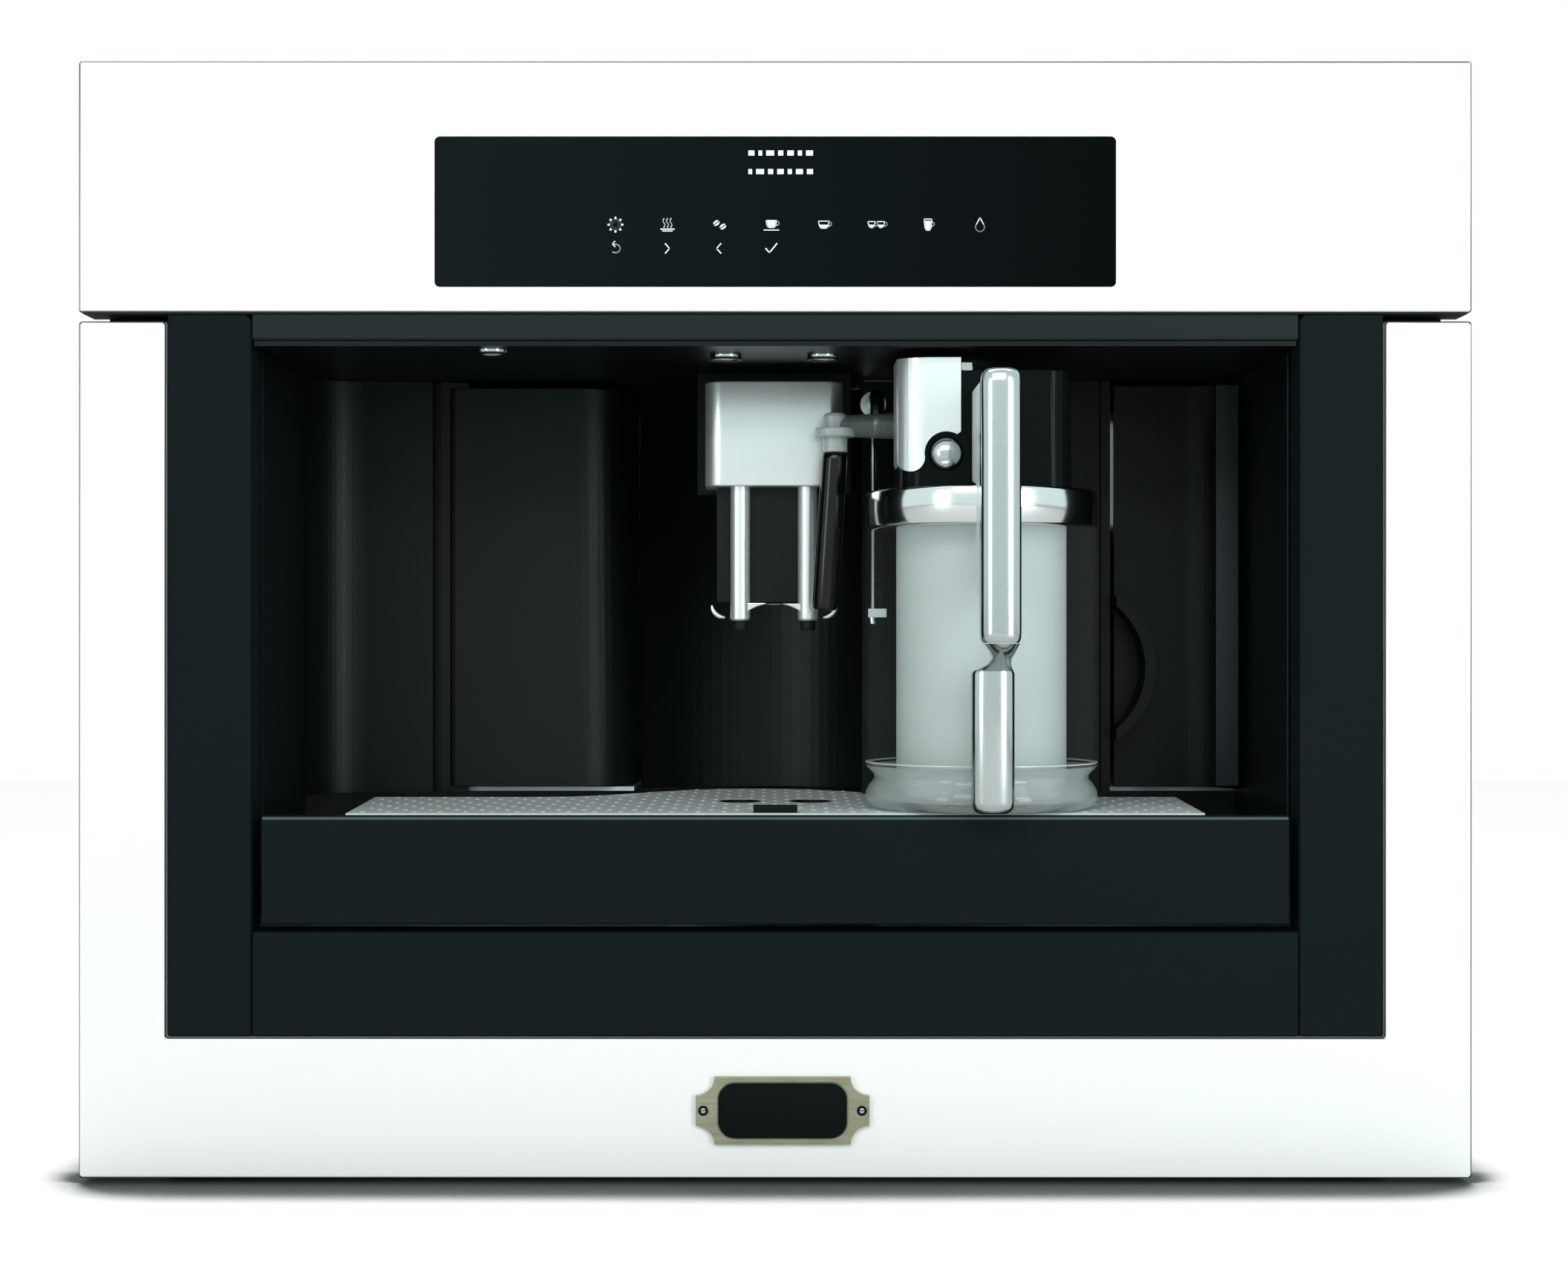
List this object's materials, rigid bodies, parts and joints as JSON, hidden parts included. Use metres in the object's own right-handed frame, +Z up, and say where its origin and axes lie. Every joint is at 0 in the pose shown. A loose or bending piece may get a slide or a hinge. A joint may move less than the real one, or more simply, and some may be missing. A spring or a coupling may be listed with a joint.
{
  "type": "built-in coffee machine",
  "caption": "Built-in coffee machine on pull-out runners, with a sliding spout, milk jug, water tank, service door and drip tray drawer.",
  "frame": {"origin": "middle of the footprint on the shelf, halfway between the milk jug's handle in front and the rear panel", "axes": "+X to the viewer's right along the front, +Y away from the viewer into the cabinet, +Z up"},
  "size_m": [0.595, 0.443, 0.479],
  "materials": {
    "white_paint": "satin white paint",
    "charcoal_front": "fine speckled charcoal coating",
    "black_plastic": "fine moulded grain",
    "black_glass": "gloss black glass",
    "chrome": "polished",
    "brushed_steel": "brushed",
    "galvanised_sheet": "zinc coated sheet",
    "aged_brass": "dull dark brass",
    "clear_plastic": "clear, polished",
    "frosted_plastic": "frosted, translucent",
    "pale_plastic": "satin pale grey",
    "smoked_plastic": "smoked, translucent",
    "black_rubber": "matte",
    "copper": "dull copper"
  },
  "bodies": {
    "cabinet": {"cabinet_base_frame": "galvanised_sheet"},
    "runners": {"middle_rail_left": "brushed_steel", "middle_rail_right": "brushed_steel"},
    "machine": {"front_carrier": "galvanised_sheet", "chassis_shell": "galvanised_sheet", "chassis_deck": "galvanised_sheet", "top_cover": "galvanised_sheet", "rear_panel": "galvanised_sheet", "control_fascia": "white_paint", "display_glass": "black_glass", "control_board": "black_plastic", "lower_frame": "white_paint", "name_plate": "aged_brass", "pillar_left": "charcoal_front", "pillar_right": "charcoal_front", "header_strip": "charcoal_front", "lower_panel": "charcoal_front", "cavity_ceiling": "black_plastic", "tank_guide": "black_plastic", "left_liner": "black_plastic", "bay_panel": "black_plastic", "spout_cover": "chrome", "spout_housing": "black_plastic", "water_spout": "chrome", "water_spout_sleeve": "black_rubber", "steam_nozzle": "brushed_steel", "brew_frame": "black_plastic", "grounds_container": "black_plastic", "coffee_boiler": "brushed_steel", "water_pump": "copper", "grinder_housing": "black_plastic", "bean_hopper": "smoked_plastic"},
    "drip_tray_drawer": {"drip_tray_front": "charcoal_front", "drip_tray": "black_plastic", "cup_grid": "brushed_steel"},
    "float": {"tray_float": "black_plastic"},
    "coffee_spout": {"spout_carriage": "black_plastic", "spout_tubes": "chrome"},
    "door": {"service_door": "black_plastic"},
    "tank": {"water_tank": "smoked_plastic", "water_tank_front": "black_plastic"},
    "milk_jug": {"jug_shell": "clear_plastic", "jug_vessel": "frosted_plastic", "jug_collar": "chrome", "jug_lid": "black_plastic", "lid_cover": "chrome", "handle_upper": "chrome", "handle_body": "pale_plastic", "handle_lower": "chrome"},
    "button": {"clean_button": "chrome"},
    "froth_control": {"froth_slider": "chrome"},
    "milk_spout": {"milk_spout_arm": "frosted_plastic", "milk_spout_tube": "smoked_plastic"},
    "hopper_lid": {"bean_lid": "smoked_plastic"},
    "grind_control": {"grind_knob": "pale_plastic"},
    "burr": {"grinder_cone": "brushed_steel"},
    "spindle": {"brew_spindle": "brushed_steel"},
    "piston": {"brew_piston": "pale_plastic"},
    "rocker": {"main_switch": "black_plastic"}
  },
  "joints": [
    {"name": "machine_slide", "type": "slide", "parent": "cabinet", "child": "machine", "axis": [0, -1, 0], "range_m": [0, 0.28]},
    {"name": "runner_slide", "type": "slide", "parent": "cabinet", "child": "runners", "axis": [0, -1, 0], "range_m": [0, 0.1405]},
    {"name": "drip_tray_slide", "type": "slide", "parent": "machine", "child": "drip_tray_drawer", "axis": [0, -1, 0], "range_m": [0, 0.2]},
    {"name": "float_rise", "type": "slide", "parent": "drip_tray_drawer", "child": "float", "axis": [0, 0, 1], "range_m": [0, 0.005]},
    {"name": "coffee_spout_slide", "type": "slide", "parent": "machine", "child": "coffee_spout", "axis": [0, 0, 1], "range_m": [0, 0.03]},
    {"name": "service_door_hinge", "type": "hinge", "parent": "machine", "child": "door", "pos_m": [-0.152, -0.0301, 0.25775], "axis": [0, 0, -1], "range_deg": [0, 90]},
    {"name": "water_tank_slide", "type": "slide", "parent": "machine", "child": "tank", "axis": [0, -1, 0], "range_m": [0, 0.25]},
    {"name": "milk_jug_slide", "type": "slide", "parent": "machine", "child": "milk_jug", "axis": [0, -1, 0], "range_m": [0, 0.15]},
    {"name": "clean_button_press", "type": "slide", "parent": "milk_jug", "child": "button", "axis": [0, 1, 0], "range_m": [0, 0.003], "stiffness_N_per_m": 400},
    {"name": "froth_slider_slide", "type": "slide", "parent": "milk_jug", "child": "froth_control", "axis": [0, 1, 0], "range_m": [0, 0.014]},
    {"name": "milk_spout_swivel", "type": "hinge", "parent": "milk_jug", "child": "milk_spout", "pos_m": [0.054, -0.1145, 0.3285], "axis": [-1, 0, 0], "range_deg": [0, 35]},
    {"name": "bean_lid_hinge", "type": "hinge", "parent": "machine", "child": "hopper_lid", "pos_m": [0.104, 0.1525, 0.4483], "axis": [-1, 0, 0], "range_deg": [0, 90]},
    {"name": "grind_knob_turn", "type": "hinge", "parent": "machine", "child": "grind_control", "pos_m": [0.0712, 0.0447, 0.43], "axis": [0, 0, 1], "range_deg": [0, 180]},
    {"name": "burr_spin", "type": "hinge", "parent": "machine", "child": "burr", "pos_m": [0.104, 0.0855, 0.34], "axis": [0, 0, 1], "continuous": true},
    {"name": "brew_spindle_spin", "type": "hinge", "parent": "machine", "child": "spindle", "pos_m": [-0.118, 0.1175, 0.25], "axis": [0, 0, 1], "range_deg": [0, 1440]},
    {"name": "brew_piston_slide", "type": "slide", "parent": "machine", "child": "piston", "axis": [0, 0, 1], "range_m": [0, 0.0505]},
    {"name": "main_switch_rock", "type": "hinge", "parent": "machine", "child": "rocker", "pos_m": [-0.21, 0.2161, 0.09], "axis": [-1, 0, 0], "range_deg": [0, 12]}
  ],
  "couplings": [
    {"joint": "runner_slide", "follows": "machine_slide", "ratio": 0.5},
    {"joint": "brew_piston_slide", "follows": "brew_spindle_spin", "m_per_rad": 0.0019894}
  ]
}
